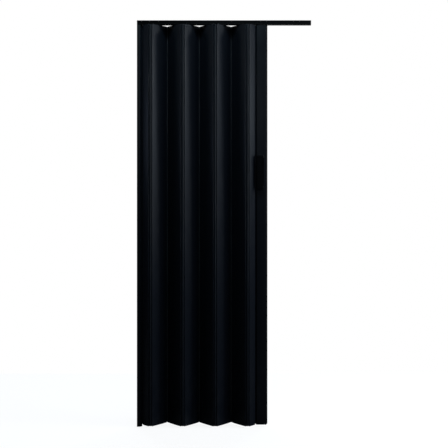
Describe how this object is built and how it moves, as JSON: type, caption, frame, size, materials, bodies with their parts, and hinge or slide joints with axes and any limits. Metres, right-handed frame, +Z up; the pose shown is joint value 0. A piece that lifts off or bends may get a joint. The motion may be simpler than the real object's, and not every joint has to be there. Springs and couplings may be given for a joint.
{
  "type": "accordion folding door",
  "caption": "Accordion folding door of rigid hollow panels on soft hinge strips, hung by gliders from a top track, with a wall channel, a lead post and pull handles.",
  "frame": {"origin": "floor level on the track's centre plane, halfway along the track", "axes": "+X along the track from the wall channel to the free end, +Y through the doorway with the front at -Y, +Z up"},
  "size_m": [0.87, 0.0886, 2.03],
  "materials": {
    "panel_pvc": "satin black rigid PVC",
    "track_pvc": "satin black rigid PVC",
    "soft_pvc": "soft black PVC, slightly glossy",
    "handle_plastic": "fine matt black moulding",
    "nylon": "natural nylon",
    "steel": "zinc-plated screw steel"
  },
  "bodies": {
    "frame": {"track": "track_pvc", "track_end_caps": "track_pvc", "wall_channel": "track_pvc", "jamb_post": "panel_pvc", "wall_hinge_strip": "soft_pvc"},
    "left_half": {"left_half_panel": "panel_pvc", "hinge_strip_1": "soft_pvc"},
    "leaf_1": {"panel_1": "panel_pvc", "hanger_1": "nylon", "hinge_strip_2": "soft_pvc"},
    "leaf_2": {"panel_2": "panel_pvc", "hanger_2": "nylon", "hinge_strip_3": "soft_pvc"},
    "leaf_3": {"panel_3": "panel_pvc", "hanger_3": "nylon", "hinge_strip_4": "soft_pvc"},
    "leaf_4": {"panel_4": "panel_pvc", "hanger_4": "nylon", "hinge_strip_5": "soft_pvc"},
    "leaf_5": {"panel_5": "panel_pvc", "hanger_5": "nylon", "hinge_strip_6": "soft_pvc"},
    "leaf_6": {"panel_6": "panel_pvc", "hanger_6": "nylon", "hinge_strip_7": "soft_pvc"},
    "right_half": {"right_half_panel": "panel_pvc", "lead_hinge_strip": "soft_pvc"},
    "lead": {"lead_post": "panel_pvc", "lead_foot_cap": "panel_pvc", "lead_hangers": "nylon", "lead_glider": "nylon", "lead_seal": "soft_pvc", "front_handle": "handle_plastic", "back_handle": "handle_plastic", "handle_screws": "steel"},
    "slider_1": {"glider_1": "nylon"},
    "slider_2": {"glider_2": "nylon"},
    "slider_3": {"glider_3": "nylon"},
    "slider_4": {"glider_4": "nylon"},
    "slider_5": {"glider_5": "nylon"},
    "slider_6": {"glider_6": "nylon"}
  },
  "joints": [
    {"name": "wall_hinge", "type": "hinge", "parent": "frame", "child": "left_half", "pos_m": [-0.4065, 0, 1], "axis": [0, 0, 1], "range_deg": [-32, 46], "deforming": ["wall_hinge_strip"]},
    {"name": "fold_1", "type": "hinge", "parent": "left_half", "child": "leaf_1", "pos_m": [-0.36627, -0.0379, 1], "axis": [0, 0, 1], "range_deg": [-92, 64], "deforming": ["hinge_strip_1"]},
    {"name": "fold_2", "type": "hinge", "parent": "leaf_1", "child": "leaf_2", "pos_m": [-0.2858, 0.0379, 1], "axis": [0, 0, 1], "range_deg": [-64, 92], "deforming": ["hinge_strip_2"]},
    {"name": "fold_3", "type": "hinge", "parent": "leaf_2", "child": "leaf_3", "pos_m": [-0.20533, -0.0379, 1], "axis": [0, 0, 1], "range_deg": [-92, 64], "deforming": ["hinge_strip_3"]},
    {"name": "fold_4", "type": "hinge", "parent": "leaf_3", "child": "leaf_4", "pos_m": [-0.12486, 0.0379, 1], "axis": [0, 0, 1], "range_deg": [-64, 92], "deforming": ["hinge_strip_4"]},
    {"name": "fold_5", "type": "hinge", "parent": "leaf_4", "child": "leaf_5", "pos_m": [-0.04439, -0.0379, 1], "axis": [0, 0, 1], "range_deg": [-92, 64], "deforming": ["hinge_strip_5"]},
    {"name": "fold_6", "type": "hinge", "parent": "leaf_5", "child": "leaf_6", "pos_m": [0.03608, 0.0379, 1], "axis": [0, 0, 1], "range_deg": [-64, 92], "deforming": ["hinge_strip_6"]},
    {"name": "fold_7", "type": "hinge", "parent": "leaf_6", "child": "right_half", "pos_m": [0.11654, -0.0379, 1], "axis": [0, 0, 1], "range_deg": [-92, 64], "deforming": ["hinge_strip_7"]},
    {"name": "lead_hinge", "type": "hinge", "parent": "right_half", "child": "lead", "pos_m": [0.15678, 0, 1], "axis": [0, 0, 1], "range_deg": [-32, 46], "deforming": ["lead_hinge_strip"]},
    {"name": "glider_turn_1", "type": "hinge", "parent": "leaf_1", "child": "slider_1", "pos_m": [-0.32603, 0, 1], "axis": [0, 0, 1], "range_deg": [-32, 46]},
    {"name": "glider_turn_2", "type": "hinge", "parent": "leaf_2", "child": "slider_2", "pos_m": [-0.24556, 0, 1], "axis": [0, 0, 1], "range_deg": [-46, 32]},
    {"name": "glider_turn_3", "type": "hinge", "parent": "leaf_3", "child": "slider_3", "pos_m": [-0.16509, 0, 1], "axis": [0, 0, 1], "range_deg": [-32, 46]},
    {"name": "glider_turn_4", "type": "hinge", "parent": "leaf_4", "child": "slider_4", "pos_m": [-0.08463, 0, 1], "axis": [0, 0, 1], "range_deg": [-46, 32]},
    {"name": "glider_turn_5", "type": "hinge", "parent": "leaf_5", "child": "slider_5", "pos_m": [-0.00416, 0, 1], "axis": [0, 0, 1], "range_deg": [-32, 46]},
    {"name": "glider_turn_6", "type": "hinge", "parent": "leaf_6", "child": "slider_6", "pos_m": [0.07631, 0, 1], "axis": [0, 0, 1], "range_deg": [-46, 32]}
  ],
  "couplings": [
    {"joint": "fold_1", "follows": "wall_hinge", "ratio": -2},
    {"joint": "fold_2", "follows": "wall_hinge", "ratio": 2},
    {"joint": "fold_3", "follows": "wall_hinge", "ratio": -2},
    {"joint": "fold_4", "follows": "wall_hinge", "ratio": 2},
    {"joint": "fold_5", "follows": "wall_hinge", "ratio": -2},
    {"joint": "fold_6", "follows": "wall_hinge", "ratio": 2},
    {"joint": "fold_7", "follows": "wall_hinge", "ratio": -2},
    {"joint": "lead_hinge", "follows": "wall_hinge", "ratio": 1},
    {"joint": "glider_turn_1", "follows": "wall_hinge", "ratio": 1},
    {"joint": "glider_turn_2", "follows": "wall_hinge", "ratio": -1},
    {"joint": "glider_turn_3", "follows": "wall_hinge", "ratio": 1},
    {"joint": "glider_turn_4", "follows": "wall_hinge", "ratio": -1},
    {"joint": "glider_turn_5", "follows": "wall_hinge", "ratio": 1},
    {"joint": "glider_turn_6", "follows": "wall_hinge", "ratio": -1}
  ]
}
